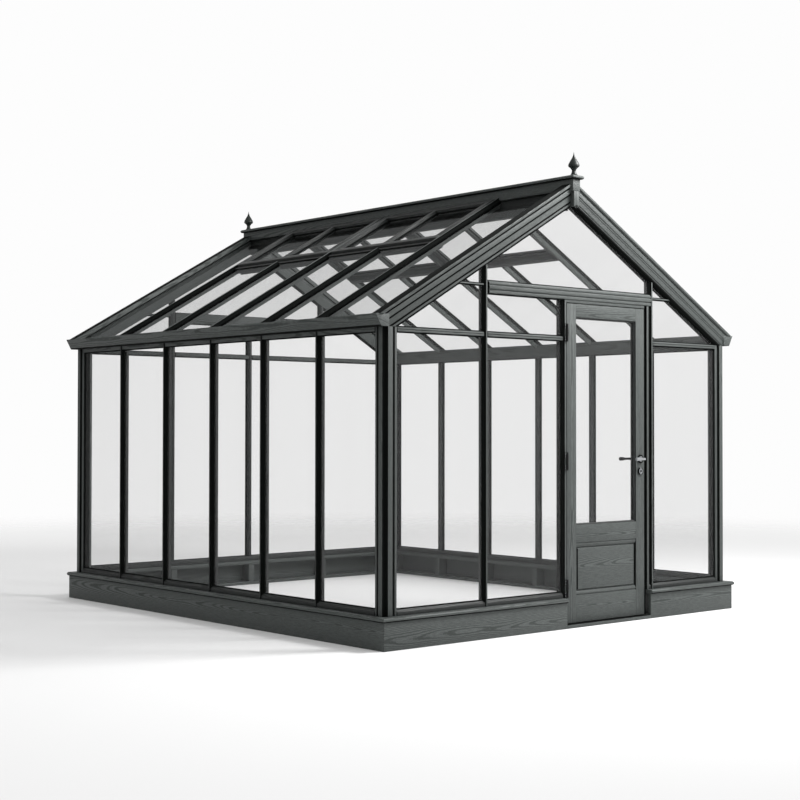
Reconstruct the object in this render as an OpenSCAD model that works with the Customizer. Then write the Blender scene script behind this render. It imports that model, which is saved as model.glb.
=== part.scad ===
// Glass greenhouse: a glazed timber frame on a low boarded base, with a gable
// roof, four roof vents and one hinged door in the front gable.
// Millimetres, +Z up. The origin is the centre of the footprint at ground level,
// the ridge runs along Y and the door gable faces -Y.

/* [Overall] */
// Width of the base across the gable
base_w = 3160; // [2800:10:3900]
// Length of the base along the ridge
base_l = 3570; // [2900:10:4500]
// Top of the base's sill board
sill_top = 187; // [150:1:230]
// Top edge of the gutter
eaves_h = 1889; // [1860:1:1960]
// Slope of the roof in degrees
roof_pitch = 29.6; // [27:0.1:36]
// Panes along each side
side_bays = 6; // [4:2:8]

/* [Base] */
// Thickness of the base boards
board_t = 25; // [18:1:32]
// Thickness of the sill board
sill_t = 26; // [20:1:32]
// How far the sill's lip stands out from the base boards
sill_lip = 13; // [6:1:20]
// How far the glazed walls stand in from the face of the base
wall_inset = 32; // [26:1:50]
// Width of a stud behind the base boards
stud_w = 50; // [40:1:60]
// Height of the plate along the foot of the base boards
plate_t = 24; // [18:1:32]

/* [Wall frame] */
// Depth of the wall's frame, outside to inside
wall_d = 62; // [56:1:80]
// Width of a glazing bar
bar_w = 34; // [30:1:44]
// Width of the nosing on a glazing bar's outer edge
nose_w = 12; // [8:1:16]
// Width of a corner post on each face
post_w = 98; // [90:1:120]
// Re-entrant corner cut in each post
post_notch = 24; // [16:1:28]
// Height of the rail at the foot of the glass
rail_h = 35; // [28:1:45]
// Height of the transom at eaves level
transom_h = 26; // [22:1:40]
// Thickness of a sheet of glass
glass_t = 4; // [4:1:6]
// Depth from the face of a wall to its glass
glass_in = 20; // [19:1:24]

/* [Gables] */
// Centre of the left mullion of the front gable
mullion_left_x = -752; // [-900:1:-500]
// Gap between the door frame and the bar right of it, filled by a strip of frame
mullion_gap = 38; // [24:1:120]
// Centres of the three mullions of the back gable
back_mullion_x = [-745, -25, 700];
// Height of the transom over the door
head_h = 75; // [60:1:90]
// Height of the thin strip beside each gable mullion
strip_h = 8; // [6:1:12]
// Distance of that strip's underside above the door opening
strip_up = 66; // [20:1:90]
// Width of the moulded barge board, square to the slope
barge_w = 131; // [120:1:150]
// How far the barge board's cap stands out from the wall
barge_out = 18; // [12:1:24]

/* [Eaves] */
// How far the gutter's top edge stands out from the wall
gutter_out = 77; // [60:1:90]
// How far the gutter's foot stands out from the wall
gutter_foot = 37; // [28:1:50]
// Height of the gutter
gutter_h = 71; // [60:1:85]
// Thickness of the gutter's walls
gutter_t = 11; // [8:1:14]
// How far each gutter stops short of the base's end
gutter_short = 21; // [10:1:26]

/* [Ridge] */
// Width of the ridge board
ridge_w = 65; // [56:1:80]
// Depth of the ridge board below its cap
ridge_d = 74; // [66:1:90]
// Width of the ridge cap
cap_w = 102; // [90:1:120]
// Thickness of the ridge cap
cap_t = 24; // [18:1:30]
// Depth of the ridge beam under the ridge board
beam_d = 112; // [95:1:130]
// Width of the ridge beam
beam_w = 50; // [40:1:54]
// Width of the block that closes the barge boards' joint under the ridge
king_w = 46; // [36:1:56]
// How far the ridge cap reaches past the wall at each end
ridge_out = 52; // [38:1:66]
// Height of a finial above the ridge cap
finial_h = 153; // [120:1:180]
// Widest diameter of a finial
finial_d = 72; // [56:1:84]

/* [Roof] */
// Depth of a roof bar, square to the slope
roof_bar_d = 62; // [56:1:70]
// How far the roof bars lie below the barge boards' top edge
roof_drop = 14; // [10:1:18]
// Depth from a roof bar's top edge to the glass
roof_glass_in = 20; // [19:1:24]
// Level distance from the ridge to the foot of the vents
vent_foot = 580; // [500:5:700]
// Width of a vent's side, top and foot rails
vent_rail_w = 42; // [34:1:52]
// Gap left around each vent
vent_gap = 4; // [3:1:6]
// Height of the fixed rail under the foot of the vents
cross_h = 40; // [34:1:50]

/* [Door] */
// Width of the door
leaf_w = 740; // [700:5:780]
// Height of the door
leaf_h = 2000; // [1960:5:2040]
// Thickness of the door
leaf_t = 45; // [40:1:50]
// Centre of the door across the front gable
leaf_x = 315; // [300:1:330]
// Underside of the door above the ground
leaf_lift = 28; // [26:1:36]
// Gap around the door
leaf_gap = 5; // [5:0.5:6]
// Width of the door frame's jambs
jamb_w = 25; // [22:1:27]
// Height of the threshold
threshold_h = 22; // [14:1:23]
// Width of the stile on the hinge side
hinge_stile_w = 85; // [70:1:96]
// Width of the stile on the lock side
lock_stile_w = 82; // [76:1:96]
// Height of the door's top rail
top_rail_h = 84; // [70:1:100]
// Top of the door's middle rail
mid_rail_top = 638; // [560:1:700]
// Height of the door's middle rail
mid_rail_h = 111; // [90:1:130]
// Height of the door's bottom rail
foot_rail_h = 168; // [120:1:200]

/* [Hardware] */
// Outer diameter of a hinge's knuckles
knuckle_d = 13; // [11:1:13]
// Diameter of a hinge's pin
pin_d = 6; // [5:0.5:7]
// Height of a hinge
hinge_h = 112; // [90:1:120]
// Height of the lever handle's spindle
lever_z = 1045; // [1000:5:1080]
// Distance of the spindle from the door's lock edge
backset = 40; // [38:1:44]
// Length of the lever's grip
lever_len = 102; // [90:1:130]
// Widest diameter of the lever's grip, near its end
grip_d = 24; // [18:1:28]
// Diameter of the lever's neck and spindle
lever_d = 16; // [14:1:18]
// Distance from the door's face to the middle of the grip
lever_out = 48; // [42:1:55]
// Diameter of the rose behind the lever
rose_d = 54; // [46:1:56]
// Thickness of a rose
rose_t = 8; // [6:1:10]
// Distance of the keyhole plate below the spindle
lock_drop = 80; // [72:1:95]

/* [Hidden] */
fine = 64;
run_fit = 0.3;
cut = 1;
big = 6000;
far = 1000;

hx = base_w / 2 - wall_inset;
hy = base_l / 2 - wall_inset;
clear_x = hx - post_w;
clear_y = hy - post_w;
pitch_step = 10;
bay = pitch_step * round((2 * clear_y + bar_w) / (pitch_step * side_bays));
bar_y = [for (i = [1:side_bays - 1]) (i - side_bays / 2) * bay];
rail_top = sill_top + rail_h;
gutter_z = eaves_h - gutter_h;
wall_top = gutter_z + 2;
transom_z = wall_top - transom_h;
beam_top = eaves_h - 23;
lip_w = 22;
end_lap = 23;
lip_top = eaves_h + 3;
slope = tan(roof_pitch);
lean = cos(roof_pitch);
barge_rise = 29;
ridge_up = 11;
apex = eaves_h + barge_rise + hx * slope;
soffit_z = apex - barge_w / lean;
ridge_foot = apex + ridge_up - ridge_d;
cap_z = ridge_foot + ridge_d;
beam_foot = ridge_foot - beam_d;
ridge_half = hy + ridge_out;
board_half = ridge_half - (cap_w - ridge_w) / 2;
finial_in = 42;

leaf_left = leaf_x - leaf_w / 2;
leaf_right = leaf_x + leaf_w / 2;
leaf_top = leaf_lift + leaf_h;
jamb_left = leaf_left - leaf_gap;
jamb_right = leaf_right + leaf_gap;
door_left = jamb_left - jamb_w;
door_right = jamb_right + jamb_w;
mullion_right_x = door_right + mullion_gap + bar_w / 2;
frame_head_h = 19;
strip_w = 18;
jamb_in = 13;
jamb_step = 11;
head_z = leaf_top + leaf_gap + frame_head_h;
strip_z = leaf_top + strip_up + leaf_gap;
stop_w = 8;
stop_d = wall_d - leaf_t - leaf_gap;
lever_x = leaf_right - backset;
hinge_x = leaf_left - leaf_gap / 2;
hinge_y = -hy - knuckle_d / 2 - 0.5;
hinge_z = [leaf_lift + 162, leaf_lift + leaf_h / 2 - 45, leaf_top - 240];
knuckle_h = hinge_h / 3;
lever_bend = lever_d * 0.9;

nose_r = nose_w / 2;
bar_r = bar_w / 2;
vent_top_x = ridge_w / 2 + vent_gap;
glass_low = roof_drop + roof_glass_in + glass_t;
glass_high = roof_drop + roof_glass_in;
vent_low = glass_low + 14;
verge_in = hy - wall_d;

timber = [0.30, 0.32, 0.31];
metal = [0.16, 0.17, 0.16];
pane = [0.85, 0.90, 0.90, 0.35];

// Puts a shape drawn in X and Z along +Y for a length
module run_y(len) translate([0, len, 0]) rotate([90, 0, 0]) linear_extrude(len) children();

// Puts a shape drawn in Y and Z along +X for a length
module run_x(len) rotate([90, 0, 90]) linear_extrude(len) children();

// Local X runs along a wall, local Y goes into the building from its outer face
module front_wall() translate([0, -hy, 0]) children();
module back_wall() translate([0, hy, 0]) mirror([0, 1, 0]) children();
module left_wall() translate([-hx, 0, 0]) rotate([0, 0, -90]) children();
module right_wall() translate([hx, 0, 0]) rotate([0, 0, 90]) children();

// Local X runs down one slope from the apex line and local Z stands square to it
module on_slope(side) {
    mirror([side < 0 ? 1 : 0, 0, 0])
        translate([0, 0, apex])
            rotate([0, roof_pitch, 0])
                children();
}

// A box given by its lowest and highest corners
module block(low, high) translate(low) cube(high - low);

// ---- Base ----

// A board along one side of the base, mitred at both ends
module base_run(half_len) {
    reach = half_len + wall_inset;
    linear_extrude(sill_top - sill_t)
        polygon([[-reach, -wall_inset], [reach, -wall_inset],
            [reach - board_t, board_t - wall_inset], [-reach + board_t, board_t - wall_inset]]);
}

// Clears the doorway out of what runs along the foot of the front wall
module past_door() {
    difference() {
        children();
        block([door_left, -far, -far], [door_right, far, far]);
    }
}

module gable_base_boards() {
    color(timber) {
        front_wall() past_door() base_run(hx);
        back_wall() base_run(hx);
    }
}

module side_base_boards() {
    color(timber) {
        left_wall() base_run(hy);
        right_wall() base_run(hy);
    }
}

inner_in = board_t - wall_inset;
inner_d = wall_d + 18;
corner_in = inner_d + 20;

// Where studs stand along a side and along each gable
side_stud = bar_y;
front_stud = [mullion_left_x, mullion_right_x + stud_w / 2];
back_stud = back_mullion_x;

module stud(x, w = stud_w) {
    block([x - w / 2, inner_in, plate_t], [x + w / 2, inner_d, sill_top - sill_t]);
}

module base_studs() {
    color(timber) {
        for (y = side_stud) {
            left_wall() stud(y);
            right_wall() stud(y);
        }
        for (x = front_stud) front_wall() stud(x);
        for (x = back_stud) back_wall() stud(x);
        for (sx = [-1, 1], sy = [-1, 1])
            translate([sx * hx, sy * hy, 0])
                mirror([sx > 0 ? 1 : 0, 0, 0])
                    mirror([0, sy > 0 ? 1 : 0, 0])
                        block([inner_in, inner_in, 0], [corner_in, corner_in, sill_top - sill_t]);
    }
}

module plate_run(from, to) block([from, inner_in, 0], [to, inner_d, plate_t]);

module base_plates() {
    side = hy - corner_in;
    gable = hx - corner_in;
    color(timber) {
        left_wall() plate_run(-side, side);
        right_wall() plate_run(-side, side);
        back_wall() plate_run(-gable, gable);
        front_wall() plate_run(-gable, door_left);
        front_wall() plate_run(door_right, gable);
    }
}

// Section of a sill board: a rounded lip outside and a square edge inside
module sill_section() {
    r = sill_t / 2;
    out = wall_inset + sill_lip;
    translate([-out + r, r]) circle(r, $fn = fine);
    translate([-out + r, 0]) square([out - r + inner_d + 6, sill_t]);
}

module sill_run(half_len) {
    out = wall_inset + sill_lip;
    reach = half_len + out;
    translate([0, 0, sill_top - sill_t])
        intersection() {
            translate([-reach, 0, 0]) run_x(2 * reach) sill_section();
            linear_extrude(sill_t)
                polygon([[-reach, -out], [reach, -out], [reach - far, far - out],
                    [-reach + far, far - out]]);
        }
}

module gable_sills() {
    color(timber) {
        back_wall() sill_run(hx);
        front_wall() past_door() sill_run(hx);
    }
}

module side_sills() {
    color(timber) {
        left_wall() sill_run(hy);
        right_wall() sill_run(hy);
    }
}

module threshold() {
    color(timber) front_wall() {
        block([door_left, -wall_inset, 0], [door_right, 0, threshold_h]);
        block([jamb_left, -cut, 0], [jamb_right, wall_d, threshold_h]);
    }
}

// ---- Walls ----

// Plan of a corner post, from the outer corner inwards
function post_half() = [[post_notch, 0], [post_notch + 33, 0], [post_notch + 35, 2],
    [post_notch + 35, 13], [post_w - 21, 13], [post_w - 19, 7], [post_w - 5, 7], [post_w, 12],
    [post_w, wall_d]];

function swapped(points) = [for (i = [len(points) - 1:-1:0]) [points[i][1], points[i][0]]];

module corner_posts() {
    plan = concat(post_half(), swapped(post_half()), [[post_notch, post_notch]]);
    color(timber)
        for (sx = [-1, 1], sy = [-1, 1])
            translate([sx * hx, sy * hy, sill_top])
                mirror([sx > 0 ? 1 : 0, 0, 0])
                    mirror([0, sy > 0 ? 1 : 0, 0])
                        linear_extrude(wall_top - sill_top) polygon(plan);
}

// Section of a glazing bar: nosing outside, sloped beads, body, chamfered inner edge
module bar_section(depth) {
    inner = nose_r + 3;
    polygon([[-nose_r + 1, 0], [nose_r - 1, 0], [nose_r + 1, 3], [nose_r + 1, 9], [bar_r, 15],
        [bar_r, depth - 24], [inner, depth], [-inner, depth], [-bar_r, depth - 24], [-bar_r, 15],
        [-nose_r - 1, 9], [-nose_r - 1, 3]]);
}

module rail_section() {
    polygon([[6, 0], [6, rail_h - 15], [glass_in - 2, rail_h], [wall_d, rail_h], [wall_d, 0]]);
}

module rail_run(from, to) {
    translate([from, 0, sill_top]) run_x(to - from) rail_section();
}

module bottom_rails() {
    color(timber) {
        left_wall() rail_run(-clear_y, clear_y);
        right_wall() rail_run(-clear_y, clear_y);
        back_wall() rail_run(-clear_x, clear_x);
        front_wall() rail_run(-clear_x, door_left);
        front_wall() rail_run(door_right, clear_x);
    }
}

// Bars that stand on the rail, with only the nosing running past the rails
module wall_bar(x) {
    difference() {
        translate([x, 0, sill_top]) linear_extrude(gutter_z - sill_top) bar_section(wall_d);
        rail_run(x - bar_w, x + bar_w);
        block([x - bar_w, 6, transom_z], [x + bar_w, wall_d + cut, big]);
    }
}

module wall_bars() {
    color(timber)
        for (y = bar_y) {
            left_wall() wall_bar(y);
            right_wall() wall_bar(y);
        }
}

// Everything under the barge boards' soffit, seen square to a gable
module under_soffit(low) {
    polygon([[-hx, low], [hx, low], [hx, soffit_z - hx * slope], [0, soffit_z],
        [-hx, soffit_z - hx * slope]]);
}

module in_gable(low) rotate([90, 0, 0]) mirror([0, 0, 1]) linear_extrude(wall_d) under_soffit(low);

module mullion(x) {
    difference() {
        intersection() {
            translate([x, 0, sill_top]) linear_extrude(soffit_z) bar_section(wall_d);
            in_gable(sill_top);
        }
        rail_run(x - bar_w, x + bar_w);
    }
}

// The strip of frame beside the right jamb and its set-back web up to the mullion
module front_mullions() {
    color(timber) front_wall() {
        mullion(mullion_left_x);
        mullion(mullion_right_x);
        difference() {
            union() {
                block([door_right, 0, sill_top], [door_right + strip_w, wall_d, head_z]);
                block([door_right, jamb_in, sill_top], [mullion_right_x - bar_r, wall_d, head_z]);
            }
            rail_run(door_right - cut, mullion_right_x + bar_w);
        }
    }
}

module back_mullions() {
    color(timber) back_wall() {
        mullion(back_mullion_x[0]);
        mullion(back_mullion_x[2]);
        difference() {
            translate([back_mullion_x[1], 0, sill_top])
                linear_extrude(head_z - sill_top) bar_section(wall_d);
            rail_run(back_mullion_x[1] - bar_w, back_mullion_x[1] + bar_w);
        }
    }
}

module transom_section() {
    polygon([[6, 0], [6, 10], [10, 12], [6, 14], [6, transom_h - 4], [14, transom_h],
        [wall_d, transom_h], [wall_d, 0]]);
}

module transom_run(from, to) {
    translate([from, 0, transom_z]) run_x(to - from) transom_section();
}

// Section of the deep transom over the door: three proud bands between grooves
module head_section() {
    polygon([[0, 0], [-5, 3], [-5, 17], [0, 20], [0, 24], [-7, 27], [-7, 45], [-1, 49], [-1, 53],
        [-5, 55], [-5, 64], [8, head_h], [wall_d, head_h], [wall_d, 0]]);
}

module head_run(from, to) translate([from, 0, head_z]) run_x(to - from) head_section();

// A thin strip beside a mullion, level with the deep transom
module strip_run(from, to) {
    intersection() {
        block([from, 8, strip_z], [to, wall_d - 18, strip_z + strip_h]);
        in_gable(sill_top);
    }
}

module front_transoms() {
    color(timber) front_wall() {
        transom_run(-clear_x, mullion_left_x - bar_r);
        transom_run(mullion_left_x + bar_r, door_left);
        transom_run(mullion_right_x + bar_r, clear_x);
        head_run(mullion_left_x + bar_r, mullion_right_x - bar_r);
        strip_run(-clear_x, mullion_left_x - bar_r);
        strip_run(mullion_right_x + bar_r, clear_x);
    }
}

module back_transoms() {
    edges = concat([-clear_x], [for (x = back_mullion_x) each [x - bar_r, x + bar_r]], [clear_x]);
    color(timber) back_wall() {
        for (i = [0:2:len(edges) - 1]) transom_run(edges[i], edges[i + 1]);
        head_run(back_mullion_x[0] + bar_r, back_mullion_x[2] - bar_r);
        strip_run(-clear_x, back_mullion_x[0] - bar_r);
        strip_run(back_mullion_x[2] + bar_r, clear_x);
    }
}

module eaves_beam() {
    difference() {
        union() {
            block([-verge_in, 6, transom_z], [verge_in, wall_d, beam_top]);
            block([-verge_in, 0, gutter_z], [verge_in, wall_d, beam_top]);
            block([-verge_in, wall_d - lip_w, gutter_z], [verge_in, wall_d, lip_top]);
        }
        for (side = [-1, 1])
            block([side * (clear_y + post_w) - post_w, -cut, transom_z - cut],
                [side * (clear_y + post_w) + post_w, big, wall_top]);
    }
}

module eaves_beams() {
    color(timber) {
        left_wall() eaves_beam();
        right_wall() eaves_beam();
    }
}

// A gutter is a floor and a flared front board that stand on the face of the eaves beam
floor_end = gutter_foot - 6;

// Puts what is drawn outwards from the right wall at the gutter's foot, on both sides
module both_gutters(from, len) {
    for (side = [0, 1])
        mirror([side, 0, 0])
            translate([hx, from, gutter_z]) run_y(len) children();
}

module gutter_floors() {
    color(timber) both_gutters(-hy, 2 * hy) square([floor_end, gutter_t]);
}

module gutter_fronts() {
    color(timber) both_gutters(-hy, 2 * hy)
        polygon([[floor_end, 0], [gutter_foot, 0], [gutter_foot + 6, 8], [gutter_out, gutter_h],
            [gutter_out - gutter_t - 3, gutter_h], [floor_end, gutter_t]]);
}

// The solid ends of the gutters, which lap over the feet of the barge boards
module gutter_ends() {
    end_t = wall_inset - gutter_short;
    color(timber)
        for (from = [-hy - end_t, hy])
            both_gutters(from, end_t)
                polygon([[-end_lap, 0], [gutter_foot, 0], [gutter_foot + 6, 8],
                    [gutter_out, gutter_h], [-end_lap, gutter_h]]);
}

// ---- Gable boards ----

// Section of a barge board: depth into the wall against distance below its top edge
module barge_section() {
    out = barge_out;
    foot = -barge_w;
    polygon([[-wall_d, 0], [out, 0], [out, -14], [out - 6, -18], [4, -20], [4, -25],
        [out - 8, -28], [out - 8, -54], [6, -57], [6, -63], [out - 12, -66], [3, -68], [3, -97],
        [-2, -101], [-2, -107], [2, -110], [2, -120], [-4, -124], [-10, foot], [-wall_d, foot]]);
}

// The barge board of the front gable's right slope, cut to the ridge and the gutter
module barge() {
    reach = hx / lean + barge_w;
    difference() {
        on_slope(1)
            translate([0, -hy, 0]) rotate([90, 0, 90])
                translate([0, 0, -barge_w])
                    linear_extrude(reach + barge_w) mirror([1, 0]) barge_section();
        block([-big, -big, 0], [big, 0, wall_top]);
        block([-big, -big, 0], [0, 0, big]);
        block([hx, -big, 0], [big, 0, eaves_h]);
        block([hx - end_lap, -big, 0], [big, -hy, eaves_h]);
        block([0, -big, ridge_foot], [ridge_w / 2, 0, big]);
        block([0, -big, 0], [king_w / 2, -hy, big]);
    }
}

module barge_front_left() { color(timber) mirror([1, 0, 0]) barge(); }

module barge_front_right() { color(timber) barge(); }

module barge_back_left() { color(timber) mirror([1, 0, 0]) mirror([0, 1, 0]) barge(); }

module barge_back_right() { color(timber) mirror([0, 1, 0]) barge(); }

// ---- Ridge ----

module ridge_beam() {
    color(timber) block([-beam_w / 2, -verge_in, beam_foot], [beam_w / 2, verge_in, ridge_foot]);
}

// The block under an end of the ridge board, from there down to the barge boards' soffit
module king_block() {
    half = king_w / 2;
    foot = soffit_z - half * slope;
    translate([0, -hy, 0]) rotate([90, 0, 0]) linear_extrude(board_half - hy)
        polygon([[-half, foot], [0, soffit_z], [half, foot], [half, ridge_foot],
            [-half, ridge_foot]]);
}

module king_blocks() {
    color(timber) {
        king_block();
        mirror([0, 1, 0]) king_block();
    }
}

module ridge_board() {
    color(timber) block([-ridge_w / 2, -board_half, ridge_foot], [ridge_w / 2, board_half, cap_z]);
}

module ridge_cap() {
    r = cap_t / 2;
    color(timber) intersection() {
        translate([0, -ridge_half, cap_z]) run_y(2 * ridge_half) {
            for (side = [-1, 1]) translate([side * (cap_w / 2 - r), r]) circle(r, $fn = fine);
            translate([-cap_w / 2 + r, 0]) square([cap_w - 2 * r, cap_t]);
        }
        translate([-cap_w / 2, 0, cap_z]) run_x(cap_w) {
            for (side = [-1, 1]) translate([side * (ridge_half - r), r]) circle(r, $fn = fine);
            translate([-ridge_half + r, 0]) square([2 * (ridge_half - r), cap_t]);
        }
    }
}

// Half outline of a finial: flared foot, neck, bulb and point
module finial() {
    top = finial_h;
    wide = finial_d / 2;
    foot = wide * 0.67;
    neck = wide * 0.35;
    rotate_extrude($fn = fine)
        polygon([[0, 0], [foot, 0], [foot, 5], [foot - 5, 9], [neck + 3, 18], [neck, 28],
            [neck + 1, 36], [wide * 0.6, 48], [wide - 3, 57], [wide, 62], [wide - 1, 70],
            [wide * 0.86, 80], [wide * 0.64, 94], [wide * 0.4, 108], [wide * 0.2, 122],
            [wide * 0.08, 136], [0, top]]);
}

module finials() {
    color(metal)
        for (side = [-1, 1])
            translate([0, side * (ridge_half - finial_in), cap_z + cap_t]) finial();
}

// ---- Roof ----

// Cuts away what the ridge, the eaves beam and the gutter take up
module roof_clear(side) {
    difference() {
        children();
        block([-ridge_w / 2, -big, ridge_foot], [ridge_w / 2, big, big]);
        block([-beam_w / 2, -big, 0], [beam_w / 2, big, ridge_foot + cut]);
        block([side > 0 ? -big : 0, -big, 0], [side > 0 ? 0 : big, big, big]);
        block([side > 0 ? hx - wall_d : -big, -big, 0], [side > 0 ? big : wall_d - hx, big, beam_top]);
        mirror([side > 0 ? 0 : 1, 0, 0])
            block([hx - wall_d, -big, 0], [hx - wall_d + lip_w, big, lip_top]);
        block([side > 0 ? hx + gutter_t : -big, -big, 0], [side > 0 ? big : -hx - gutter_t, big, big]);
    }
}

module roof_bar(side, y, from = 0) {
    roof_clear(side)
        on_slope(side)
            translate([from, y, -roof_drop])
                run_x(hx / lean + roof_bar_d) mirror([0, 1]) bar_section(roof_bar_d);
}

vent_foot_u = vent_foot / lean;
cross_w = 30;
cross_in = 16;
middle = (len(bar_y) - 1) / 2;

// Bars between two vent bays stop at the fixed cross rail
function is_short(i) = i != 0 && i != len(bar_y) - 1 && i != middle;

module roof_bars() {
    color(timber)
        for (side = [-1, 1], i = [0:len(bar_y) - 1])
            roof_bar(side, bar_y[i], is_short(i) ? vent_foot_u + cross_w : 0);
}

// Edges of the two vents along the ridge, between the outer and the middle bars
vent_y = [[bar_y[0] + bar_r, bar_y[middle] - bar_r],
    [bar_y[middle] + bar_r, bar_y[len(bar_y) - 1] - bar_r]];

module roof_cross_rails() {
    color(timber)
        for (side = [-1, 1], y = vent_y)
            on_slope(side) {
                block([vent_foot_u, y[0], -roof_drop - cross_h - cross_in],
                    [vent_foot_u + cross_w, y[1], -roof_drop - cross_in]);
                block([vent_foot_u - cross_w, y[0], -vent_low - cross_h],
                    [vent_foot_u + cut, y[1], -vent_low]);
            }
}

module vent_block(side, y, u0, u1, v0, v1) {
    on_slope(side) block([u0, y[0] + v0, -vent_low], [u1, y[0] + v1, -roof_drop + 2]);
}

vent_top_u = (vent_top_x + glass_low * sin(roof_pitch)) / lean + vent_gap;

module vent_rails() {
    color(timber)
        for (side = [-1, 1], y = vent_y) {
            w = y[1] - y[0];
            vent_block(side, y, vent_top_u, vent_top_u + vent_rail_w, vent_gap, w - vent_gap);
            vent_block(side, y, vent_foot_u - vent_gap - vent_rail_w, vent_foot_u - vent_gap,
                vent_gap, w - vent_gap);
        }
}

module vent_stiles() {
    u0 = vent_top_u + vent_rail_w;
    u1 = vent_foot_u - vent_gap - vent_rail_w;
    color(timber)
        for (side = [-1, 1], y = vent_y) {
            w = y[1] - y[0];
            vent_block(side, y, u0, u1, vent_gap, vent_gap + vent_rail_w);
            vent_block(side, y, u0, u1, w - vent_gap - vent_rail_w, w - vent_gap);
            vent_block(side, y, u0, u1, w / 2 - bar_r, w / 2 + bar_r);
        }
}

// ---- Glass ----

bar_edges = concat([-clear_y], [for (y = bar_y) each [y - bar_r, y + bar_r]], [clear_y]);

module side_sheets() {
    for (i = [0:2:len(bar_edges) - 1])
        block([bar_edges[i], glass_in, rail_top], [bar_edges[i + 1], glass_in + glass_t, transom_z]);
}

module side_glass() {
    color(pane) {
        left_wall() side_sheets();
        right_wall() side_sheets();
    }
}

// One sheet of gable glass between two edges and two heights, cut to the soffit
module gable_sheet(x0, x1, z0, z1) {
    translate([0, glass_in, 0])
        rotate([90, 0, 0]) mirror([0, 0, 1])
            linear_extrude(glass_t)
                intersection() {
                    translate([x0, z0]) square([x1 - x0, z1 - z0]);
                    under_soffit(sill_top);
                }
}

module gable_sides(left, right) {
    for (z = [[rail_top, transom_z], [wall_top, strip_z], [strip_z + strip_h, soffit_z]]) {
        gable_sheet(-clear_x, left - bar_r, z[0], z[1]);
        gable_sheet(right + bar_r, clear_x, z[0], z[1]);
    }
    gable_sheet(left + bar_r, right - bar_r, head_z + head_h, soffit_z);
}

module gable_glass() {
    color(pane) {
        front_wall() {
            gable_sides(mullion_left_x, mullion_right_x);
            gable_sheet(mullion_left_x + bar_r, door_left, rail_top, transom_z);
            gable_sheet(mullion_left_x + bar_r, door_left, wall_top, head_z);
        }
        back_wall() {
            gable_sides(back_mullion_x[0], back_mullion_x[2]);
            for (i = [0, 1], z = [[rail_top, transom_z], [wall_top, head_z]])
                gable_sheet(back_mullion_x[i] + bar_r, back_mullion_x[i + 1] - bar_r, z[0], z[1]);
        }
    }
}

module slope_sheet(side, y0, y1, u0) {
    roof_clear(side)
        on_slope(side)
            block([u0, y0, -glass_low], [hx / lean + roof_bar_d, y1, -glass_high]);
}

roof_edges = concat([-verge_in], [for (y = bar_y) each [y - bar_r, y + bar_r]], [verge_in]);

module roof_glass() {
    last = len(roof_edges) - 2;
    color(pane)
        for (side = [-1, 1], i = [0:2:last])
            slope_sheet(side, roof_edges[i], roof_edges[i + 1],
                i == 0 || i == last ? 0 : vent_foot_u + cross_w);
}

module vent_glass() {
    u0 = vent_top_u + vent_rail_w;
    u1 = vent_foot_u - vent_gap - vent_rail_w;
    color(pane)
        for (side = [-1, 1], y = vent_y) {
            w = y[1] - y[0];
            for (v = [[vent_gap + vent_rail_w, w / 2 - bar_r],
                    [w / 2 + bar_r, w - vent_gap - vent_rail_w]])
                on_slope(side)
                    block([u0, y[0] + v[0], -glass_low], [u1, y[0] + v[1], -glass_high]);
        }
}

// ---- Door frame ----

module door_jambs() {
    color(timber) front_wall() {
        difference() {
            block([door_left, 0, 0], [jamb_left + stop_w + leaf_gap, wall_d, head_z]);
            block([door_left - cut, -cut, sill_top], [door_left + jamb_step, jamb_in, big]);
            block([jamb_left, -cut, -cut], [big, wall_d - stop_d, big]);
            block([jamb_left - cut, -cut, -cut], [big, big, threshold_h]);
            block([jamb_left, -big, head_z - frame_head_h], [big, big, big]);
        }
        difference() {
            block([jamb_right - stop_w - leaf_gap, 0, 0], [door_right, wall_d, head_z]);
            block([jamb_right - cut, -cut, threshold_h], [door_right + cut, jamb_in, big]);
            block([-big, -cut, -cut], [jamb_right, wall_d - stop_d, big]);
            block([-big, -cut, -cut], [jamb_right + cut, big, threshold_h]);
            block([-big, -big, head_z - frame_head_h], [jamb_right, big, big]);
        }
    }
}

module door_frame_head() {
    top = head_z - frame_head_h;
    stop = stop_w + leaf_gap;
    color(timber) front_wall() {
        block([jamb_left, 0, top], [jamb_right, wall_d, head_z]);
        block([jamb_left + stop, wall_d - stop_d, top - stop], [jamb_right - stop, wall_d, top + cut]);
    }
}

module hinge_pins() {
    gap = run_fit;
    color(metal)
        for (z = hinge_z) translate([hinge_x, hinge_y, z]) {
            cylinder(d = pin_d, h = hinge_h, $fn = fine);
            cylinder(d = knuckle_d, h = knuckle_h - gap, $fn = fine);
            translate([0, 0, 2 * knuckle_h + gap])
                cylinder(d = knuckle_d, h = knuckle_h - gap, $fn = fine);
            for (from = [0, 2 * knuckle_h + gap])
                block([-knuckle_d - 4, knuckle_d / 2 - 2.5, from],
                    [0, knuckle_d / 2 + 0.5, from + knuckle_h - gap]);
        }
}

// ---- Door ----

panel_low = leaf_lift + foot_rail_h;
panel_high = mid_rail_top - mid_rail_h;
field_left = leaf_left + hinge_stile_w;
field_right = leaf_right - lock_stile_w;
bead_h = 28;

module door_stiles() {
    color(timber) front_wall() {
        block([leaf_left, 0, leaf_lift], [field_left, leaf_t, leaf_top]);
        difference() {
            block([field_right, 0, leaf_lift], [leaf_right, leaf_t, leaf_top]);
            translate([lever_x, -cut, lever_z]) rotate([-90, 0, 0])
                cylinder(d = lever_d + 2 * run_fit, h = leaf_t + 2 * cut, $fn = fine);
        }
    }
}

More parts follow.
